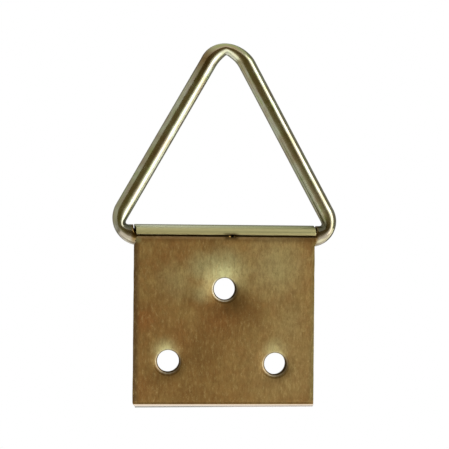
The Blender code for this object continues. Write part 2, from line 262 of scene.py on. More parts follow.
# Roughness between the duller and the glossier spots, and the grain of both metals
SHEET_GLOSS_SPOTS = 0.0012
WIRE_GLOSS_SPOTS = 0.0010
GLOSS_NOISE_SHARES = (0.3, 0.7)
SHEET_ROUGH_SHARES = (0.46, 0.54)
BENT_GLOSS_SHARE = 0.22  # of the curl and the fold, which are smoother
WIRE_ROUGH_SHARES = (0.14, 0.22)
SHEET_GRAIN = 0.0002
WIRE_GRAIN = 0.0003
GRAIN_DEPTH = 0.000004

# Dark panel in front: how its shading slants, and where that starts and ends below its middle
FLAG_SLANT = 0.25
FLAG_SHADE = (0.010, 0.140)


# The bent strip. A point of it is x across the strip and v along its middle, from the curl's cut end


def section(v):
    """Y and Z of the strip's middle, and the direction out of its outer face there."""
    if v < REAR_START:
        turn = math.pi - SEAM_TURN - v / CURL_RADIUS
        out = Vector((0, math.cos(turn), math.sin(turn)))
        return Vector((0, AXIS_Y, AXIS_Z)) + out * CURL_RADIUS, out
    if v < FOLD_START:
        return Vector((0, -SHEET_THICKNESS / 2, AXIS_Z - (v - REAR_START))), Vector((0, 1, 0))
    if v < FRONT_START:
        turn = (v - FOLD_START) / FOLD_RADIUS
        out = Vector((0, math.cos(turn), -math.sin(turn)))
        return FOLD_MIDDLE + out * FOLD_RADIUS, out
    return FOLD_MIDDLE + FRONT_OUT * FOLD_RADIUS + FRONT_UP * (v - FRONT_START), FRONT_OUT


def plateau(v, start, end, fade):
    """1 from start to end, and dying away over the fade outside them."""
    share = min(max(start - v, v - end, 0) / fade, 1)
    return (1 + math.cos(math.pi * share)) / 2


def seam_gap(x):
    share = (x + HALF_WIDTH) / PLATE_WIDTH
    return SEAM_GAP_LEFT + (SEAM_GAP_RIGHT - SEAM_GAP_LEFT) * share


def notch(x):
    return NOTCH_DEPTH * plateau(x, WIRE_END_OFFSET, WIRE_END_OFFSET, NOTCH_REACH)


def seam_v(x):
    """Where the front leaf's free edge lies."""
    return STRIP_LENGTH - seam_gap(x) - notch(x)


def side_x(side, v):
    """X of the strip's left or right side."""
    seam = seam_v(side * HALF_WIDTH)
    corner = plateau(v, seam - CORNER_DROP, seam, SIDE_FADE)
    curl_front = plateau(v, 0, CURL_FRONT, SIDE_FADE)
    if side == RIGHT:
        curl = plateau(v, 0, REAR_START, SIDE_FADE)
        reach = RIGHT_EAR_REACH * corner + RIGHT_CURL_REACH * (curl + curl_front)
        rear_share = max(v - REAR_START, 0) / (FOLD_START - REAR_START)
        front_share = (seam - v) / (seam - FRONT_START)
        flare = RIGHT_FLARE * min(rear_share, front_share, 1)
        return HALF_WIDTH + reach + flare
    fold = plateau(v, FOLD_START + FOLD_FADE, FRONT_START - FOLD_FADE, FOLD_FADE)
    return LEFT_CURL_INSET * (curl_front + corner) + LEFT_FOLD_INSET * fold - HALF_WIDTH


def front_v(height):
    foot_z = FOLD_Z - FOLD_RADIUS * math.sin(LEAN)
    return FRONT_START + (BOTTOM_Z + height - foot_z) / math.cos(LEAN)


def rear_v(height):
    return REAR_START + AXIS_Z - BOTTOM_Z - height


def screw_holes():
    """X and height of each hole's centre, with its dish's width and depth."""
    spread = LOWER_HOLE_SPACING / 2
    drop = (TOP_HOLE_HEIGHT - LOWER_HOLE_HEIGHT) / 3
    middle = LOWER_HOLE_HEIGHT + drop
    pattern = (
        (0, 2 * drop, TOP_DISH_WIDTH, TOP_DISH_DEPTH),
        (-spread, -drop, LOWER_DISH_WIDTH, LOWER_DISH_DEPTH),
        (spread, -drop, LOWER_DISH_WIDTH, LOWER_DISH_DEPTH),
    )
    for x, up, dish_width, dish_depth in pattern:
        turned_x = x * math.cos(PATTERN_TURN) + up * math.sin(PATTERN_TURN)
        turned_up = up * math.cos(PATTERN_TURN) - x * math.sin(PATTERN_TURN)
        yield turned_x - PATTERN_SHIFT, middle + turned_up, dish_width, dish_depth


def dent(distance, dish_width, dish_depth):
    """How far the sheet lies behind the plain front leaf, this far from a hole's centre, and how steeply."""
    share = min((distance - HOLE_RIM) / dish_width, 1)
    inside = max(HOLE_RIM - distance, 0)
    across = math.sqrt(LIP_RADIUS**2 - inside**2)
    depth = dish_depth * (1 - share) ** 2 + LIP_RADIUS - across
    slope = -2 * dish_depth * (1 - share) / dish_width - inside / across
    return depth, slope


def place(x, v, height):
    """The point at this height out of the middle of the bent sheet, over the pattern's point x, v."""
    point, out = section(v)
    depth, tilt = 0, Vector((0, 0, 0))
    if v > FRONT_START:
        for hole_x, hole_height, dish_width, dish_depth in screw_holes():
            away = Vector((x - hole_x, v - front_v(hole_height)))
            dent_depth, slope = dent(away.length, dish_width, dish_depth)
            depth += dent_depth
            direction = away.normalized()
            tilt += (Vector((1, 0, 0)) * direction.x + FRONT_UP * direction.y) * slope
    normal = (out + tilt).normalized()
    return Vector((x, 0, 0)) + point - out * depth + normal * height


# The flat pattern


def steps(start, end, count):
    """Count equal steps from start to end, both ends included."""
    return [start + (end - start) * i / count for i in range(count + 1)]


def spaced(start, end, spacing):
    """Equal steps of about this spacing from start to end, both ends included."""
    return steps(start, end, max(round(abs(end - start) / spacing), 1))


def raggedness(point):
    """How far out the edge lies at this point of the outline, as a sheared edge wavers."""
    return EDGE_RAGGEDNESS * noise.noise(Vector((point.x / RAG_LENGTH, point.y / RAG_LENGTH, 0)))


def rounded(before, corner, after, reach, count):
    """Points of a small arc in place of the corner, which starts and ends at this reach from it."""
    start = corner + (before - corner).normalized() * reach
    end = corner + (after - corner).normalized() * reach
    for share in steps(0, 1, count):
        yield start.lerp(corner, share).lerp(corner.lerp(end, share), share)


def outline():
    """The strip's edge in the flat, anticlockwise, with its corners rounded."""
    right = [Vector((side_x(RIGHT, v), v)) for v in spaced(0, seam_v(HALF_WIDTH), EDGE_SPACING)]
    left_top = side_x(LEFT, seam_v(-HALF_WIDTH))
    seam = [Vector((x, seam_v(x))) for x in spaced(right[-1].x, left_top, EDGE_SPACING)]
    left = [Vector((side_x(LEFT, v), v)) for v in spaced(seam[-1].y, 0, EDGE_SPACING)]
    cut_end = [Vector((x, notch(x))) for x in spaced(left[-1].x, right[0].x, EDGE_SPACING)]
    sides = (right, seam, left, cut_end)
    points = []
    for number, side in enumerate(sides):
        after = sides[(number + 1) % len(sides)]
        first, last = side[0], side[-1]
        middle = [p for p in side if min((p - first).length, (p - last).length) > CORNER_ROUNDING]
        points += middle
        points += rounded(side[-3], last, after[2], CORNER_ROUNDING, CORNER_STEPS)
    return points


def outward_normals(loop):
    """The direction out of an anticlockwise loop at each of its points."""
    for i, point in enumerate(loop):
        along = (loop[(i + 1) % len(loop)] - loop[i - 1]).normalized()
        yield Vector((along.y, -along.x))


def sheet_edge():
    """The strip's edge with the direction out of the metal at each point."""
    loop = outline()
    normals = list(outward_normals(loop))
    wavering = [point + normal * raggedness(point) for point, normal in zip(loop, normals)]
    return list(zip(wavering, normals))


def hole_edge(x, v, radius):
    """The edge of a hole, with the direction out of the metal, which is towards the hole's middle."""
    for i in range(HOLE_SIDES):
        turn = 2 * math.pi * i / HOLE_SIDES
        away = Vector((math.cos(turn), math.sin(turn)))
        yield Vector((x, v)) + away * radius, -away


def strip_holes():
    """X, v and radius of each hole through the strip, in its front and in its rear leaf."""
    for x, height, _, _ in screw_holes():
        yield x, front_v(height), CUT_EDGE
        yield x, rear_v(height), REAR_HOLE_DIAMETER / 2


def edges_of_metal():
    """Each closed edge of the strip, as points with the direction out of the metal."""
    yield sheet_edge()
    yield from (list(hole_edge(*hole)) for hole in strip_holes())


def inset(edge):
    """The edge drawn back into the metal by the rounding of a sheared edge."""
    return [point - out * EDGE_ROUNDING for point, out in edge]


def row_heights():
    """Places along the strip of the rows of points inside it."""
    rows = steps(0, REAR_START, CURL_STEPS) + spaced(REAR_START, FOLD_START, GRID)
    rows += steps(FOLD_START, FRONT_START, FOLD_STEPS) + spaced(FRONT_START, STRIP_LENGTH, GRID)
    return sorted(set(rows))


def within_strip(x, v, margin):
    across = side_x(LEFT, v) + margin < x < side_x(RIGHT, v) - margin
    return across and notch(x) + margin < v < seam_v(x) - margin


def clear_of_edges(x, v):
    margin = EDGE_ROUNDING + GRID / 2
    if not within_strip(x, v, margin):
        return False
    for hole_x, height, dish_width, _ in screw_holes():
        if math.hypot(x - hole_x, v - front_v(height)) < HOLE_RIM + dish_width + GRID / 2:
            return False
        if math.hypot(x - hole_x, v - rear_v(height)) < REAR_HOLE_DIAMETER / 2 + margin:
            return False
    return True


def inner_points():
    """Points of the pattern inside its edges: rows across the strip, and rings round the front holes."""
    columns = spaced(-HALF_WIDTH, HALF_WIDTH, GRID)
    for v in row_heights():
        yield from (Vector((x, v)) for x in columns if clear_of_edges(x, v))
    for x, height, dish_width, _ in screw_holes():
        rings = [HOLE_RIM + dish_width * share for share in steps(0, 1, DISH_STEPS)]
        for turn in steps(0, LIP_TURN, LIP_STEPS)[1:-1]:
            rings.append(HOLE_RIM - LIP_RADIUS * math.sin(turn))
        for radius in rings:
            if radius > CUT_EDGE + EDGE_ROUNDING + MERGE_DISTANCE:
                ring = (point for point, _ in hole_edge(x, front_v(height), radius))
                yield from (p for p in ring if p.y > FRONT_START and within_strip(*p, EDGE_ROUNDING * 2))


def flat_pattern():
    """The pattern's points and triangles, and each edge point's number among them, in the edges' order."""
    points, edges = [], []
    for loop in map(inset, edges_of_metal()):
        first = len(points)
        points += loop
        edges += [(first + i, first + (i + 1) % len(loop)) for i in range(len(loop))]
    points += inner_points()
    found, _, faces, origins, *_ = delaunay_2d_cdt(points, edges, [], 1, MERGE_DISTANCE)
    number = {first: i for i, originals in enumerate(origins) for first in originals}
    flats_share = math.cos(math.pi / HOLE_SIDES)
    holes = [(Vector((x, v)), (radius + EDGE_ROUNDING) * flats_share) for x, v, radius in strip_holes()]
    kept = [face for face in faces if not in_a_hole(found, face, holes)]
    return found, kept, number


def in_a_hole(points, face, holes):
    middle = sum((points[i] for i in face), Vector((0, 0))) / len(face)
    return any((middle - centre).length < radius for centre, radius in holes)


# The sheet as a closed mesh with rounded edges


def edge_profile():
    """Distances out of the inset edge and heights, from the outer face round to the inner face."""
    half = SHEET_THICKNESS / 2
    for turn in steps(0, math.pi / 2, EDGE_STEPS):
        yield EDGE_ROUNDING * math.sin(turn), half - EDGE_ROUNDING * (1 - math.cos(turn))
    for turn in steps(math.pi / 2, 0, EDGE_STEPS):
        yield EDGE_ROUNDING * math.sin(turn), -half + EDGE_ROUNDING * (1 - math.cos(turn))


def bridge(shape, rings):
    """Faces from each closed ring of points to the next one."""
    for near, far in zip(rings, rings[1:]):
        for i in range(len(near)):
            after = (i + 1) % len(near)
            shape.faces.new((near[i], near[after], far[after], far[i]))


class Sheet:
    """The bent strip's mesh as it is made, with the place of each of its points in the flat pattern."""

    def __init__(self):
        self.shape = bmesh.new()
        self.flat = self.shape.verts.layers.float_vector.new("flat_place")
        self.edge = self.shape.verts.layers.float.new("edge_share")

    def corner(self, x, v, height, edge_share=0):
        made = self.shape.verts.new(place(x, v, height))
        made[self.flat] = (x, v, height)
        made[self.edge] = edge_share
        return made

    def faces(self, corners, triangles):
        for triangle in triangles:
            self.shape.faces.new([corners[i] for i in triangle])

    def rim(self, outer, inner, edge):
        """Joins the two faces' edges by the rounded edge between them."""
        rings = [outer]
        for reach, height in list(edge_profile())[1:-1]:
            ring = []
            for point, out in edge:
                spot = point + out * (reach - EDGE_ROUNDING)
                ring.append(self.corner(spot.x, spot.y, height, reach / EDGE_ROUNDING))
            rings.append(ring)
        rings.append(inner)
        bridge(self.shape, rings)


def make_plate():
    sheet = Sheet()
    points, triangles, number = flat_pattern()
    half = SHEET_THICKNESS / 2
    outer = [sheet.corner(p.x, p.y, half) for p in points]
    inner = [sheet.corner(p.x, p.y, -half) for p in points]
    sheet.faces(outer, triangles)
    sheet.faces(inner, [reversed(triangle) for triangle in triangles])
    first = 0
    for edge in edges_of_metal():
        numbers = [number[first + i] for i in range(len(edge))]
        sheet.rim([outer[i] for i in numbers], [inner[i] for i in numbers], edge)
        first += len(edge)
    loose = [corner for corner in sheet.shape.verts if not corner.link_faces]
    bmesh.ops.delete(sheet.shape, geom=loose, context="VERTS")
    bmesh.ops.recalc_face_normals(sheet.shape, faces=sheet.shape.faces)
    return finished("sheet_plate", sheet.shape)


def linked(name, data):
    """A new object of the scene, with this mesh, light or camera."""
    thing = bpy.data.objects.new(name, data)
    bpy.context.scene.collection.objects.link(thing)
    return thing


def finished(name, shape):
    mesh = bpy.data.meshes.new(name)
    shape.to_mesh(mesh)
    shape.free()
    mesh.shade_smooth()
    return linked(name, mesh)


# The wire ring, drawn in its own plane: x across, and y above the hinge axis


def ring_corners():
    """The corner points of the wire's middle line: right, apex, left."""
    right = HALF_WIDTH + RIGHT_CORNER_OVERHANG
    left = HALF_WIDTH + LEFT_CORNER_OVERHANG
    height = (right + left) / (math.tan(RIGHT_SIDE_LEAN) + math.tan(LEFT_SIDE_LEAN))
    apex = Vector((right - height * math.tan(RIGHT_SIDE_LEAN), height))
    return Vector((right, 0)), apex, Vector((-left, 0))


def out_of_side(side, up):
    """The direction out of the ring, square to the side that goes up this way."""
    return Vector((up.y, -up.x)) * side


def outer_bend(corner, first, last, radius):
    """Points of the ring's outer outline round a corner, between these two directions out of the ring."""
    centre = corner + (first + last) / (1 + first.dot(last)) * (WIRE_RADIUS - radius)
    turn = first.angle(last)
    for share in steps(0, 1, BEND_STEPS):
        normal = (first * math.sin((1 - share) * turn) + last * math.sin(share * turn)) / math.sin(turn)
        yield centre + normal * radius


def softened(corners):
    """The path through these points, each but the ends drawn round over the reach given with it."""
    path = [corners[0][0]]
    for (before, _), (corner, reach), (after, _) in zip(corners, corners[1:], corners[2:]):
        path += rounded(before, corner, after, reach, ROUND_STEPS)
    return [*path, corners[-1][0]]


def along(path, share):
    """The point this share of the way along the path."""
    lengths = [(after - before).length for before, after in zip(path, path[1:])]
    left = share * sum(lengths)
    for before, after, length in zip(path, path[1:], lengths):
        if left <= length:
            return before.lerp(after, left / length)
        left -= length
    return path[-1]


def paired(outer, inner_path):
    """Each outer point with the point of the inner path the same share of the way along it."""
    return [(point, along(inner_path, i / BEND_STEPS)) for i, point in enumerate(outer)]


def lower_bend(side, corner, apex, radius, plate_side):
    """Pairs of outer and inner points round a lower corner, from the base up to the ring's side."""
    up = (apex - corner).normalized()
    out = out_of_side(side, up)
    outer = list(outer_bend(corner, Vector((0, -1)), out, radius))
    inner_end = outer[-1] - out * WIRE_DIAMETER
    swell_top = WIRE_RADIUS + SWELL_HEIGHT
    swell_start = plate_side + SWELL_CLEARANCE
    foot = Vector((side * swell_start, WIRE_RADIUS))
    shoulder = Vector((side * (swell_start + SWELL_RISE), swell_top))
    crest = inner_end + up * (swell_top - inner_end.y) / up.y
    path = [(foot, 0), (shoulder, SHOULDER_ROUNDING), (crest, CREST_ROUNDING), (inner_end, 0)]
    return paired(outer, softened(path))


def crown_shift(i):
    """How far to the left the apex's outer point with this number lies: most in the middle of the bend."""
    return CROWN_SHIFT * math.sin(math.pi * i / BEND_STEPS)


def apex_bend(right, apex, left):
    """Pairs of outer and inner points round the apex, from right to left."""
    right_up, left_up = (apex - right).normalized(), (apex - left).normalized()
    right_out, left_out = out_of_side(RIGHT, right_up), out_of_side(LEFT, left_up)
    outer = list(outer_bend(apex, right_out, left_out, APEX_RADIUS))
    outer = [point - Vector((crown_shift(i), 0)) for i, point in enumerate(outer)]
    inner_start = outer[0] - right_out * WIRE_DIAMETER
    inner_end = outer[-1] - left_out * WIRE_DIAMETER
    meeting = apex - (right_out + left_out) / (1 + right_out.dot(left_out)) * WIRE_RADIUS
    point = meeting - Vector((ARCH_SHIFT, ARCH_DROP))
    right_turn = (inner_start + right_up * ARCH_RUN, ARCH_RUN)
    left_turn = (inner_end + left_up * ARCH_RUN, ARCH_RUN)
    path = [(inner_start, 0), right_turn, (point, ARCH_ROUNDING), left_turn, (inner_end, 0)]
    return paired(outer, softened(path))


def wire_end(x):
    return Vector((x, -WIRE_RADIUS)), Vector((x, WIRE_RADIUS))


def wire_outlines():
    """Pairs of outer and inner points from one end of the wire, round the ring, to its other end."""
    right, apex, left = ring_corners()
    left_side, right_side = HALF_WIDTH, HALF_WIDTH + RIGHT_EAR_REACH
    stretches = (
        [wire_end(WIRE_END_OFFSET + WIRE_END_GAP / 2)],
        lower_bend(RIGHT, right, apex, RIGHT_CORNER_RADIUS, right_side),
        apex_bend(right, apex, left),
        lower_bend(LEFT, left, apex, LEFT_CORNER_RADIUS, left_side)[::-1],
        [wire_end(WIRE_END_OFFSET - WIRE_END_GAP / 2)],
    )
    pairs = list(stretches[0])
    for stretch in stretches[1:]:
        (last_outer, last_inner), (outer, inner) = pairs[-1], stretch[0]
        for share in spaced(0, (outer - last_outer).length, WIRE_SPACING)[1:-1]:
            share /= (outer - last_outer).length
            pairs.append((last_outer.lerp(outer, share), last_inner.lerp(inner, share)))
        pairs += stretch
    return pairs


def painted_shade_share(flat):
    """How much painted shade the wire gets at this point of its plane: all over inside the curl, less beside
    the plate.
    """
    beyond = max(-flat.x - HALF_WIDTH, flat.x - HALF_WIDTH - RIGHT_EAR_REACH, 0)
    return plateau(beyond, 0, 0, WIRE_SHADE_REACH) * plateau(flat.y, 0, CURL_RADIUS, CURL_RADIUS)


def make_ring():
    shape = bmesh.new()
    wire = shape.verts.layers.float_vector.new("flat_place")
    painted_shade = shape.verts.layers.float.new("painted_shade_share")
    rings, length, last_middle = [], 0, None
    for outer, inner in wire_outlines():
        middle, half = (outer + inner) / 2, (outer - inner) / 2
        length += (middle - last_middle).length if last_middle else 0
        last_middle = middle
        ring = []
        for i in range(WIRE_SIDES):
            turn = 2 * math.pi * i / WIRE_SIDES
            flat = middle + half * math.cos(turn)
            made = shape.verts.new((flat.x, AXIS_Y + WIRE_RADIUS * math.sin(turn), AXIS_Z + flat.y))
            made[wire] = (length, WIRE_RADIUS * math.cos(turn), WIRE_RADIUS * math.sin(turn))
            made[painted_shade] = painted_shade_share(flat)
            ring.append(made)
        rings.append(ring)
    bridge(shape, rings)
    for ring in (rings[0], rings[-1]):
        shape.faces.new(ring)
    bmesh.ops.recalc_face_normals(shape, faces=shape.faces)
    return finished("wire_ring", shape)


# Materials


class Nodes:
    """Adds nodes to a material's or world's tree. An input is given a value, or another node's output."""

    def __init__(self, owner):
        owner.use_nodes = True
        self.owner = owner
        self.tree = owner.node_tree

    def add(self, kind, inputs, **settings):
        node = self.tree.nodes.new(kind)
        for name, value in settings.items():
            setattr(node, name, value)
        self.feed(node, inputs)
        return node

    def feed(self, node, inputs):
        for name, value in inputs.items():
            if isinstance(value, bpy.types.NodeSocket):
                self.tree.links.new(value, node.inputs[name])
            else:
                node.inputs[name].default_value = value

    def attribute(self, name, output):
        return self.add("ShaderNodeAttribute", {}, attribute_name=name).outputs[output]

    def spot(self):
        """Where the point lies in its object's own space."""
        return self.add("ShaderNodeTexCoord", {}).outputs["Object"]

    def apart(self, vector):
        """The vector's x, y and z."""
        outputs = self.add("ShaderNodeSeparateXYZ", {"Vector": vector}).outputs
        return outputs["X"], outputs["Y"], outputs["Z"]

    def noise(self, where, size, detail=3, roughness=0.55):
        """Noise whose blotches are about this size."""
        inputs = {"Vector": where, "Scale": 1 / size, "Detail": detail, "Roughness": roughness}
        return self.add("ShaderNodeTexNoise", inputs).outputs["Fac"]

    def maths(self, operation, first, second=0):
        return self.add("ShaderNodeMath", {0: first, 1: second}, operation=operation).outputs["Value"]

    def vector(self, operation, first, second=(0, 0, 0)):
        made = self.add("ShaderNodeVectorMath", {0: first, 1: second}, operation=operation)
        return made.outputs["Value" if operation in ("LENGTH", "DISTANCE", "DOT_PRODUCT") else "Vector"]

    def product(self, first, *others):
        for other in others:
            first = self.maths("MULTIPLY", first, other)
        return first

    def away(self, value, middle):
        """How far the value is from the middle, either way."""
        return self.maths("ABSOLUTE", self.maths("SUBTRACT", value, middle))

    def share(self, value, low, high, to_low=0, to_high=1):
        """Value carried from the range low to high to another range, smoothly and no further."""
        inputs = {"Value": value, "From Min": low, "From Max": high, "To Min": to_low, "To Max": to_high}
        return self.add("ShaderNodeMapRange", inputs, interpolation_type="SMOOTHSTEP").outputs["Result"]

    def fade(self, value, start, end, most=1):
        """The most up to the start, and smoothly down to 0 at the end."""
        return self.share(value, end, start, 0, most)

    def line(self, value, middle, half_width):
        """1 where the value is the middle one, and 0 from half a line's width away from it."""
        return self.fade(self.away(value, middle), 0, half_width)

    def mix(self, share, first, second):
        """The first colour with this share of the second. The mixer's colour sockets are found by number."""
        return self.add("ShaderNodeMix", {0: share, 6: first, 7: second}, data_type="RGBA").outputs[2]

    def cover(self, colour, over, *shares):
        """The colour with another over it, as strong as the product of these shares."""
        return self.mix(self.product(*shares), colour, over)

    def seen(self):
        """1 where the camera looks, also in mirrors and glass, and 0 for the light on other surfaces."""
        ray = self.add("ShaderNodeLightPath", {}).outputs
        mirrored = self.maths("MAXIMUM", ray["Is Glossy Ray"], ray["Is Transmission Ray"])
        return self.maths("MAXIMUM", ray["Is Camera Ray"], mirrored)

    def surface(self, shader):
        """The material, with this shader in place of its first one."""
        self.tree.nodes.remove(self.tree.nodes["Principled BSDF"])
        output = self.tree.nodes["Material Output"]
        self.tree.links.new(shader.outputs[0], output.inputs["Surface"])
        return self.owner


def rgb(red, green, blue):
    """A colour given in the 0 to 255 of a screen, as the linear light that a shader takes."""
    def linear(part):
        part /= 255
        return part / 12.92 if part <= 0.04045 else ((part + 0.055) / 1.055) ** 2.4
    return linear(red), linear(green), linear(blue), 1


SHEET_BROWN = rgb(140, 108, 62)
SHEET_OLIVE = rgb(150, 124, 74)
SHEET_RUST = rgb(138, 92, 50)
SHEET_FAIR = rgb(160, 136, 82)
SHEET_PIT = rgb(84, 60, 30)
# Also painted shade, low on the front leaf and below its free edge
SHEET_DARK = rgb(104, 76, 40)
SHEET_PALE = rgb(176, 156, 104)
# Paler band along the front leaf's top
LEAF_TOP_PALE = rgb(178, 150, 112)
# Painted shade along the front leaf's left side
LEFT_SIDE_SHADE = rgb(94, 74, 48)
SIDE_OLIVE = rgb(92, 88, 52)
GLOW_KHAKI = rgb(172, 170, 122)
CURL_KHAKI = rgb(168, 175, 131)
CURL_PALE = rgb(208, 214, 184)
CURL_LOW = rgb(194, 188, 136)
# Painted shade on the curl's top and along its front
CURL_PAINTED_SHADE = rgb(104, 106, 76)
# The fold's painted highlight, then its duller and greyer underside
FOLD_PAINTED_HIGHLIGHT = rgb(180, 166, 148)
FOLD_DULL = rgb(174, 164, 153)
FOLD_UNDER = rgb(140, 140, 134)
# Painted highlight on the holes' lips
LIP_PAINTED_HIGHLIGHT = rgb(214, 208, 186)
CUT_STEEL = rgb(150, 138, 108)
# Painted shade: the fold's dark line, dark rings at the holes, the notch, the curl's cut end and the sheet's
# inner face
PAINTED_SHADE_BROWN = rgb(66, 48, 22)
WIRE_KHAKI = rgb(183, 187, 164)
WIRE_BROWN = rgb(167, 160, 129)
WIRE_DULL = rgb(126, 116, 102)
WIRE_GREEN = rgb(150, 166, 98)
WIRE_RUST = rgb(180, 144, 92)
WIRE_MAUVE = rgb(164, 146, 132)
# Painted shade on the wire: its left shoulder, beside the plate and inside the curl
WIRE_PAINTED_SHADE = rgb(108, 82, 34)
# Painted shade inside the ring's lower bends
SWELL_PAINTED_SHADE = rgb(76, 78, 58)
FLAG_DARK = rgb(113, 99, 62)
FLAG_PALE = rgb(225, 215, 190)
GREY = rgb(250, 247, 234)
PAPER = (0.8, 0.8, 0.8, 1)
WHITE = (1, 1, 1, 1)


class Layer(NamedTuple):
    """Blotches or specks over a metal's colour, which grow over these shares of their noise."""

    colour: tuple
    strength_share: float
    size: float
    noise_shares: tuple
    detail: int = 3
    roughness: float = 0.55
    stretch_shares: tuple = (1, 1, 1)
    moved: tuple = (0, 0, 0)


SHEET_BLOTCHES = (
    Layer(SHEET_OLIVE, 1.00, 0.0040, (0.30, 0.70), 5, 0.60),
    Layer(SHEET_RUST, 0.35, 0.0016, (0.55, 0.80), 5, 0.65),
    Layer(SHEET_RUST, 0.18, 0.0013, (0.48, 0.64), 2, moved=(0, 1, 0)),
    Layer(SHEET_FAIR, 0.40, 0.0013, (0.46, 0.34), 2, moved=(0, 1, 0)),
)
SHEET_SPECKS = (
    Layer(SHEET_PIT, 0.42, 0.0005, (0.36, 0.64), 5, 0.90, (1, 0.35, 1)),
    Layer(SHEET_PALE, 0.45, 0.0004, (0.50, 0.72), 4, 0.90, (1, 0.35, 1), (1, 1, 0)),
    Layer(SHEET_PIT, 0.30, 0.0006, (0.66, 0.74), 2),
)
WIRE_BLOTCHES = (
    Layer(WIRE_BROWN, 1.00, 0.0030, (0.35, 0.70), 4),
    Layer(WIRE_MAUVE, 0.45, 0.0010, (0.50, 0.64), stretch_shares=(0.4, 1, 1)),
    Layer(WIRE_GREEN, 0.45, 0.0010, (0.45, 0.33), stretch_shares=(0.4, 1, 1)),
)

# Round patches on the front leaf: khaki painted glows of reflected light, most round the screw holes, and
# brown and rusty stain patches that are partly painted shade. x and height of the middle, radius and
# strength as a share
KHAKI_GLOWS = (
    (-0.0002, 0.0228, 0.0056, 0.95),
    (0.0085, 0.0235, 0.0080, 0.45),
    (-0.0040, 0.0238, 0.0034, 0.55),
    (0.0110, 0.0150, 0.0060, 0.15),
    (-0.0096, 0.0094, 0.0032, 0.85),
    (0.0086, 0.0096, 0.0030, 0.50),
    (-0.0144, 0.0279, 0.0009, 0.90),
    (-0.0080, 0.0212, 0.0048, 0.30),
    (0.0100, 0.0070, 0.0110, 0.14),
    (-0.0038, 0.0192, 0.0026, 0.45),
)
BROWN_STAINS_AND_SHADE = (
    (-0.0004, 0.0150, 0.0056, 0.80),
    (-0.0040, 0.0090, 0.0064, 0.60),
    (0.0040, 0.0155, 0.0050, 0.50),
    (-0.0055, 0.0185, 0.0030, 0.45),
    (-0.0110, 0.0050, 0.0030, 0.50),
    (-0.0145, 0.0140, 0.0040, 0.40),
    (0.0040, 0.0165, 0.0040, 0.40),
    (-0.0050, 0.0020, 0.0060, 0.35),
    (-0.0020, 0.0275, 0.0030, 0.35),
    (0.0145, 0.0275, 0.0025, 0.45),
    (0.0115, 0.0168, 0.0045, 0.30),
    (-0.0148, 0.0165, 0.0035, 0.45),
)
RUST_STAINS_AND_SHADE = (
    (-0.0135, 0.0145, 0.0050, 0.50),
    (-0.0142, 0.0030, 0.0035, 0.35),
    (-0.0010, 0.0150, 0.0050, 0.45),
    (-0.0070, 0.0120, 0.0040, 0.30),
    (-0.0085, 0.0280, 0.0050, 0.40),
    (-0.0130, 0.0150, 0.0022, 0.60),
)


def layered(nodes, where, colour, layers):
    """The colour with these layers of noise over it."""
    for layer in layers:
        spot = nodes.vector("ADD", nodes.vector("MULTIPLY", where, layer.stretch_shares), layer.moved)
        noise = nodes.noise(spot, layer.size, layer.detail, layer.roughness)
        grown = nodes.share(noise, *layer.noise_shares)
        colour = nodes.cover(colour, layer.colour, grown, layer.strength_share)
    return colour


def plated_metal(nodes, where, colour, rough, grain):
    """The material, with this colour and roughness, and with bumps of this grain."""
    shader = nodes.tree.nodes["Principled BSDF"]
    height = {"Height": nodes.noise(where, grain, 4), "Distance": GRAIN_DEPTH, "Strength": 1}
    bumped = nodes.add("ShaderNodeBump", height).outputs["Normal"]
    nodes.feed(shader, {"Base Color": colour, "Metallic": 1, "Roughness": rough, "Normal": bumped})
    return nodes.owner


class SheetNodes(Nodes):
    """Nodes for the sheet, with the point's place in the flat strip, and its shares of curl and fold."""

    def __init__(self, owner):
        super().__init__(owner)
        self.where = self.attribute("flat_place", "Vector")
        self.across, self.along, self.out = self.apart(self.where)
        self.edge = self.attribute("edge_share", "Fac")
        self.curl = self.fade(self.along, REAR_START * CURL_START_SHARE, REAR_START)
        turn = self.maths("DIVIDE", self.maths("SUBTRACT", FRONT_START, self.along), FOLD_DEGREE)
        self.fold_turn = self.maths("SUBTRACT", turn, self.product(self.across, FOLD_TILT))
        rear = self.share(self.along, FOLD_START, FOLD_START + FOLD_RADIUS)
        self.fold = self.product(rear, self.share(self.fold_turn, *FOLD_SHADE_LINE_END))


def with_round_patches(nodes, colour, patches, patch_colour):
    """The colour with round patches in it, ragged by a little noise: stain patches, painted shade and
    painted glows.
    """
    wavering = nodes.noise(nodes.where, PATCH_WAVES, 4)
    for x, height, radius, strength_share in patches:
        distance = nodes.vector("DISTANCE", nodes.where, (x, front_v(height), 0))
        ragged_distance = nodes.maths("ADD", distance, nodes.product(wavering, radius * PATCH_WAVE_SHARE))
        start, end = (radius * share for share in PATCH_REACH_SHARES)
        colour = nodes.cover(colour, patch_colour, nodes.fade(ragged_distance, start, end, strength_share))
    return colour


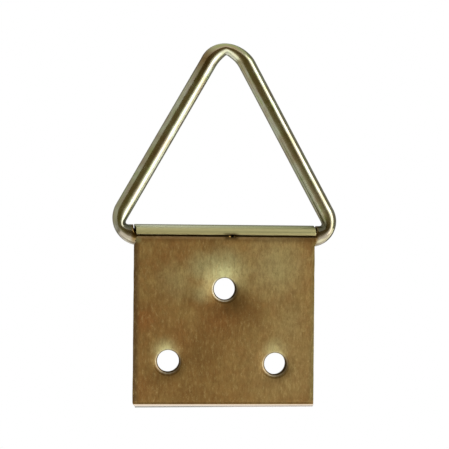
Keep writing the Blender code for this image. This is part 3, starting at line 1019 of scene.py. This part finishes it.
def stained_and_shaded(nodes, colour):
    """The colour with the front leaf's round patches, and with painted shade low down, along its left side
    and below its free edge, and an olive tint along its right side.
    """
    left_edge, right_edge = -HALF_WIDTH, HALF_WIDTH + RIGHT_FLARE
    front = nodes.share(nodes.along, FRONT_START, FRONT_START + FRONT_FADE)
    left_reach, right_reach = left_edge + SIDE_BAND_WIDTH, right_edge - SIDE_BAND_WIDTH
    left = nodes.fade(nodes.across, left_edge + LEFT_CURL_INSET, left_reach, LEFT_SIDE_SHADE_SHARE)
    right = nodes.share(nodes.across, right_reach, right_edge, 0, RIGHT_SIDE_OLIVE_SHARE)
    top = nodes.share(nodes.along, STRIP_LENGTH - SEAM_SHADE, STRIP_LENGTH - SEAM_SHADE / 2)
    top_share = nodes.share(nodes.across, 0, HALF_WIDTH, *SEAM_SHADE_SHARES)
    low = nodes.fade(nodes.along, FRONT_START, STRIP_LENGTH, LOW_SHADE_SHARE)
    # Painted shade, darker low down on the front leaf
    colour = nodes.cover(colour, SHEET_DARK, low)
    # Brown and rusty stain patches, partly painted shade
    colour = with_round_patches(nodes, colour, BROWN_STAINS_AND_SHADE, SHEET_DARK)
    colour = with_round_patches(nodes, colour, RUST_STAINS_AND_SHADE, SHEET_RUST)
    # Painted shade along the left side, and an olive tint along the right
    colour = nodes.cover(colour, LEFT_SIDE_SHADE, left, front)
    colour = nodes.cover(colour, SIDE_OLIVE, right, front)
    # Painted shade below the leaf's free edge, under the curl, stronger to the right
    colour = nodes.cover(colour, SHEET_DARK, top, top_share)
    # Painted glows of reflected light, most of them round the screw holes
    return with_round_patches(nodes, colour, KHAKI_GLOWS, GLOW_KHAKI)


def curl_colours(nodes, colour):
    """The colour with the curl's: paler on the left, with painted shade on top and a painted dark line of
    shade along its front.
    """
    left, right = -HALF_WIDTH, HALF_WIDTH
    own = nodes.mix(nodes.share(nodes.across, left, right / 2), CURL_PALE, CURL_KHAKI)
    own = nodes.mix(nodes.fade(nodes.along, *CURL_GLOSS), own, CURL_LOW)
    colour = nodes.cover(colour, own, nodes.curl, CURL_SHARE)
    # Painted shade on the curl's top and along its front
    back = nodes.fade(nodes.along, *CURL_BACK, CURL_TOP_SHADE_SHARE)
    top = nodes.product(nodes.share(nodes.along, *CURL_TOP_SHADE), back)
    facing = nodes.share(nodes.across, left, right, *CURL_SHADE_LINE_SHARES)
    line = nodes.product(nodes.line(nodes.along, *CURL_SHADE_LINE), facing)
    return nodes.cover(colour, CURL_PAINTED_SHADE, nodes.maths("MAXIMUM", top, line))


def fold_colours(nodes, colour):
    """The colour with the fold's painted light and shade: a dark line, then a bright highlight band, and a
    dull underside on the left.
    """
    line_end = nodes.fade(nodes.fold_turn, *FOLD_SHADE_LINE_END, FOLD_SHADE_LINE_SHARE)
    own = nodes.mix(nodes.share(nodes.fold_turn, *FOLD_HIGHLIGHT_END), FOLD_PAINTED_HIGHLIGHT, FOLD_DULL)
    under = nodes.share(nodes.fold_turn, *FOLD_UNDER_START)
    left = nodes.fade(nodes.across, -PLATE_WIDTH / 6, PLATE_WIDTH / 6)
    # Painted shade line, then a painted highlight band on the fold
    colour = nodes.cover(colour, PAINTED_SHADE_BROWN, nodes.share(nodes.fold_turn, *FOLD_SHADE_LINE_START), line_end)
    colour = nodes.cover(colour, own, nodes.fold)
    return nodes.cover(colour, FOLD_UNDER, nodes.fold, under, left)


def edge_colours(nodes, colour):
    """The colour with the steel of the sheared edges, the leaf's paler top, and painted shade at the notch.
    """
    colour = nodes.cover(colour, CUT_STEEL, nodes.share(nodes.edge, *CUT_SHARES))
    top = nodes.share(nodes.along, STRIP_LENGTH - SEAM_GAP_LEFT * 3, STRIP_LENGTH - SEAM_GAP_LEFT * 2)
    # Paler just below the leaf's free edge
    colour = nodes.cover(colour, LEAF_TOP_PALE, top, nodes.fade(nodes.across, 0, HALF_WIDTH, LEAF_TOP_PALE_SHARE))
    leaf = nodes.fade(nodes.maths("SUBTRACT", STRIP_LENGTH, nodes.along), *NOTCH_SHADE_LEAF)
    curl = nodes.fade(nodes.along, *NOTCH_SHADE_CURL)
    beside = nodes.away(nodes.across, WIRE_END_OFFSET - WIRE_END_GAP)
    near = nodes.fade(beside, *NOTCH_SHADE, NOTCH_SHADE_SHARE)
    # Painted shade at the notch
    return nodes.cover(colour, PAINTED_SHADE_BROWN, nodes.maths("MAXIMUM", leaf, curl), near)


def rim_light_and_shade(nodes, colour):
    """The colour with painted shade and highlight round each front hole: dark and pale rings, darkest at the
    lower right.
    """
    for x, height, dish_width, _ in screw_holes():
        from_hole = nodes.vector("SUBTRACT", nodes.where, (x, front_v(height), 0))
        distance = nodes.vector("LENGTH", from_hole)
        from_edge = nodes.maths("SUBTRACT", distance, CUT_EDGE)
        low, lower_left, lower_right = (
            nodes.vector("DOT_PRODUCT", from_hole, Vector(way) / HOLE_RIM) for way in RIM_WAY_SHARES
        )
        near = nodes.fade(distance, CUT_EDGE, HOLE_RIM + RIM_SHADE_REACH)
        # Painted shade round each hole, then painted rings of shade and highlight
        colour = nodes.cover(colour, PAINTED_SHADE_BROWN, near, nodes.share(lower_right, *RIM_SHADE_SHARES))
        lip_highlight_share = LIP_HIGHLIGHT_SHARE * dish_width / TOP_DISH_WIDTH
        for line, over, facing in (
            (CREASE_SHADE_LINE, PAINTED_SHADE_BROWN, nodes.share(low, *CREASE_SHADE_SHARES)),
            (LIP_HIGHLIGHT_LINE, LIP_PAINTED_HIGHLIGHT, nodes.share(lower_left, *LIP_HIGHLIGHT_SHARES, lip_highlight_share)),
            (EDGE_SHADE_LINE, PAINTED_SHADE_BROWN, nodes.share(low, *EDGE_SHADE_SHARES)),
        ):
            colour = nodes.cover(colour, over, nodes.line(from_edge, *line), facing)
    return colour


def inner_shade(nodes, colour):
    """The colour with painted shade on the curl's cut end and on the sheet's inner face."""
    curl_end = nodes.fade(nodes.along, 0, SHEET_THICKNESS / 3)
    cut_end = nodes.product(nodes.share(nodes.edge, *CUT_END_SHARES), curl_end)
    inside = nodes.fade(nodes.out, -SHEET_THICKNESS / 4, SHEET_THICKNESS / 4)
    return nodes.cover(colour, PAINTED_SHADE_BROWN, nodes.maths("MAXIMUM", cut_end, inside), INNER_SHADE_SHARE)


def sheet_material():
    nodes = SheetNodes(bpy.data.materials.new("yellow_plated_sheet_finish"))
    colour = layered(nodes, nodes.where, SHEET_BROWN, SHEET_BLOTCHES)
    colour = stained_and_shaded(nodes, colour)
    colour = layered(nodes, nodes.where, colour, SHEET_SPECKS)
    for next_colours in (curl_colours, fold_colours, edge_colours, rim_light_and_shade, inner_shade):
        colour = next_colours(nodes, colour)
    glossy = nodes.product(nodes.curl, nodes.share(nodes.along, *CURL_GLOSS))
    bent = nodes.maths("MAXIMUM", glossy, nodes.fold)
    spots = nodes.noise(nodes.where, SHEET_GLOSS_SPOTS, 4)
    rough = nodes.share(spots, *GLOSS_NOISE_SHARES, *SHEET_ROUGH_SHARES)
    rough = nodes.maths("SUBTRACT", rough, nodes.product(bent, BENT_GLOSS_SHARE))
    return plated_metal(nodes, nodes.where, colour, rough, SHEET_GRAIN)


def apex_tints(nodes, where, colour):
    """The wire's colour, greenish outside its apex, rusty next to that, and with painted shade on its left
    shoulder.
    """
    _, apex, _ = ring_corners()
    across, _, height = nodes.apart(nodes.spot())
    _, outwards, _ = nodes.apart(where)
    wavering = nodes.product(nodes.noise(where, TINT_WAVES, 4), WIRE_RADIUS / 2)
    ragged_out = nodes.maths("ADD", outwards, wavering)
    top = AXIS_Z + apex.y - APEX_RADIUS + WIRE_DIAMETER
    shoulder = nodes.share(height, top - SHOULDER_SHADE, top - SHOULDER_SHADE / 3)
    left = nodes.fade(across, *APEX_TINT_START)
    dark = nodes.share(ragged_out, 0, WIRE_RADIUS / 3, 0, SHOULDER_SHARE)
    # Painted shade on the left shoulder
    colour = nodes.cover(colour, WIRE_PAINTED_SHADE, shoulder, left, dark)
    high = nodes.product(nodes.share(height, top - APEX_TINT, top), nodes.share(across, *APEX_TINT_START))
    rust = nodes.share(ragged_out, 0, WIRE_RADIUS / 3, 0, RUST_SHARE)
    colour = nodes.cover(colour, WIRE_RUST, high, rust, nodes.fade(across, *RUST_END))
    green = nodes.share(ragged_out, *GREEN_START, 0, GREEN_SHARE)
    return nodes.cover(colour, WIRE_GREEN, high, green)


def bend_tints(nodes, where, colour):
    """The wire's colour, dull in streaks low on the ring and with painted shade inside its lower bends."""
    _, _, height = nodes.apart(nodes.spot())
    _, outwards, _ = nodes.apart(where)
    above = nodes.maths("SUBTRACT", height, AXIS_Z)
    streaks = nodes.noise(nodes.vector("MULTIPLY", where, STREAK_SHARES), STREAK_WIDTH, 4)
    dull = nodes.share(streaks, *STREAK_NOISE_SHARES, *LOW_BEND_DULLING_SHARES)
    colour = nodes.cover(colour, WIRE_DULL, nodes.fade(above, *LOW_BEND_DULLING), dull)
    inside = nodes.fade(outwards, -WIRE_RADIUS / 2, -WIRE_RADIUS / 6, SWELL_SHADE_SHARE)
    # Painted shade inside the lower bends
    return nodes.cover(colour, SWELL_PAINTED_SHADE, nodes.fade(above, *SWELL_SHADE), inside)


def wire_material():
    nodes = Nodes(bpy.data.materials.new("yellow_plated_wire_finish"))
    where = nodes.attribute("flat_place", "Vector")
    colour = layered(nodes, where, WIRE_KHAKI, WIRE_BLOTCHES)
    colour = apex_tints(nodes, where, colour)
    colour = bend_tints(nodes, where, colour)
    # Painted shade beside the plate and inside the curl
    colour = nodes.cover(colour, WIRE_PAINTED_SHADE, nodes.attribute("painted_shade_share", "Fac"), WIRE_SHADE_SHARE)
    spots = nodes.noise(where, WIRE_GLOSS_SPOTS, 4)
    rough = nodes.share(spots, *GLOSS_NOISE_SHARES, *WIRE_ROUGH_SHARES)
    return plated_metal(nodes, where, colour, rough, WIRE_GRAIN)


# Stage, lights and camera


def direction(azimuth, elevation):
    """The direction from the object to a place round it. Azimuth 0 is in front, and 90 to its right."""
    turn, rise = math.radians(azimuth), math.radians(elevation)
    return Vector((math.sin(turn) * math.cos(rise), -math.cos(turn) * math.cos(rise), math.sin(rise)))


def face_object(thing, azimuth, elevation, distance):
    away = direction(azimuth, elevation)
    thing.location = TARGET + away * distance
    thing.rotation_mode = "QUATERNION"
    thing.rotation_quaternion = away.to_track_quat("Z", "Y")


def softbox(name, azimuth, elevation, distance, width, height, brightness):
    """A lamp panel that shows this bright in a mirror, where white is 1."""
    light = bpy.data.lights.new(name, "AREA")
    light.shape = "RECTANGLE"
    light.size, light.size_y = width, height
    light.energy = brightness * math.pi * width * height
    thing = linked(name, light)
    face_object(thing, azimuth, elevation, distance)
    thing.visible_camera = False


def rectangle(name, width, height, level, material):
    """A flat rectangle of the stage, at this level over its own origin."""
    mesh = bpy.data.meshes.new(name)
    across, up = width / 2, height / 2
    corners = [(x * across, y * up, level) for x, y in ((-1, -1), (1, -1), (1, 1), (-1, 1))]
    mesh.from_pydata(corners, [], [(0, 1, 2, 3)])
    mesh.materials.append(material)
    thing = linked(name, mesh)
    return thing


def card(name, azimuth, elevation, distance, width, height, material):
    """A panel that only reflections and lit surfaces see."""
    thing = rectangle(name, width, height, 0, material)
    face_object(thing, azimuth, elevation, distance)
    thing.visible_camera = False
    thing.visible_shadow = False


def glowing(nodes, colour, brightness=1):
    """The material, as a plain glow."""
    return nodes.surface(nodes.add("ShaderNodeEmission", {"Color": colour, "Strength": brightness}))


def flag_material():
    """Dark, and paler low down, the more so to the right."""
    nodes = Nodes(bpy.data.materials.new("front_flag"))
    across, up, _ = nodes.apart(nodes.spot())
    low = nodes.maths("SUBTRACT", nodes.product(across, FLAG_SLANT), up)
    return glowing(nodes, nodes.mix(nodes.share(low, *FLAG_SHADE), FLAG_DARK, FLAG_PALE))


def floor_material():
    """Pale, lit like paper near the object and white to the camera further off."""
    nodes = Nodes(bpy.data.materials.new("white_paper"))
    far = nodes.share(nodes.vector("LENGTH", nodes.spot()), *FLOOR_FADE, NEAR_GLOW_SHARE, 1)
    paper = nodes.add("ShaderNodeBsdfDiffuse", {"Color": PAPER})
    glow = nodes.add("ShaderNodeEmission", {"Color": WHITE, "Strength": nodes.product(nodes.seen(), far)})
    return nodes.surface(nodes.add("ShaderNodeAddShader", {0: paper.outputs[0], 1: glow.outputs[0]}))


def make_world():
    """White where the camera looks, and in mirrors and glass. Dimmer as a light."""
    world = bpy.data.worlds.new("white_studio")
    bpy.context.scene.world = world
    nodes = Nodes(world)
    strength = nodes.share(nodes.seen(), 0, 1, WORLD_LIGHT_SHARE, 1)
    nodes.feed(nodes.tree.nodes["Background"], {"Color": WHITE, "Strength": strength})


# Plain panels: azimuth and elevation in degrees, distance, width, height, colour and how bright each shows
PANELS = {
    "right_low_panel": (90, -25, 0.26, 0.19, 0.12, WHITE, 2.2),
    "top_panel": (0, 84, 0.40, 0.80, 0.74, WHITE, 0.85),
    "low_reflector": (0, -62, 0.26, 0.63, 0.24, WHITE, 2.0),
    "left_reflector": (-88, 3, 0.26, 0.50, 0.43, GREY, 0.60),
    "left_low_panel": (-96, -18, 0.25, 0.40, 0.05, WHITE, 0.75),
    "right_rear_flag": (124, 10, 0.30, 0.84, 0.60, GREY, 0.30),
    "left_rear_flag": (-155, 8, 0.30, 0.40, 0.44, GREY, 0.38),
}
RIGHT_SOFTBOX = (55, 8, 0.26, 0.13, 0.37, 3.0)  # the same without a colour
FRONT_FLAG = (-12, 5, 0.21, 0.325, 0.28)  # the same without colour and brightness


def make_lights():
    """A lamp, and panels round the object that it mirrors."""
    softbox("right_softbox", *RIGHT_SOFTBOX)
    for name, (*place_and_size, colour, brightness) in PANELS.items():
        nodes = Nodes(bpy.data.materials.new(name))
        card(name, *place_and_size, glowing(nodes, colour, brightness))
    card("front_flag", *FRONT_FLAG, flag_material())


def make_camera():
    camera = bpy.data.cameras.new("camera")
    camera.lens = camera.sensor_width * CAMERA_DISTANCE / VIEW_WIDTH
    camera.clip_start, camera.clip_end = CAMERA_DISTANCE / 100, FLOOR_SIZE * 2
    thing = linked("camera", camera)
    face_object(thing, CAMERA_AZIMUTH, CAMERA_ELEVATION, CAMERA_DISTANCE)
    thing.rotation_quaternion = thing.rotation_quaternion @ Quaternion((0, 0, 1), CAMERA_ROLL)
    bpy.context.scene.camera = thing


def dress(piece, node, body, material):
    piece.data.materials.append(material)
    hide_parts(node)
    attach(piece, body)


bpy.context.scene.view_settings.view_transform = "Standard"
make_camera()
make_world()
rectangle("floor", FLOOR_SIZE, FLOOR_SIZE, BOTTOM_Z - FLOOR_DROP, floor_material())
make_lights()
dress(make_plate(), "folded_plate", "plate", sheet_material())
dress(make_ring(), "triangle_ring", "ring", wire_material())
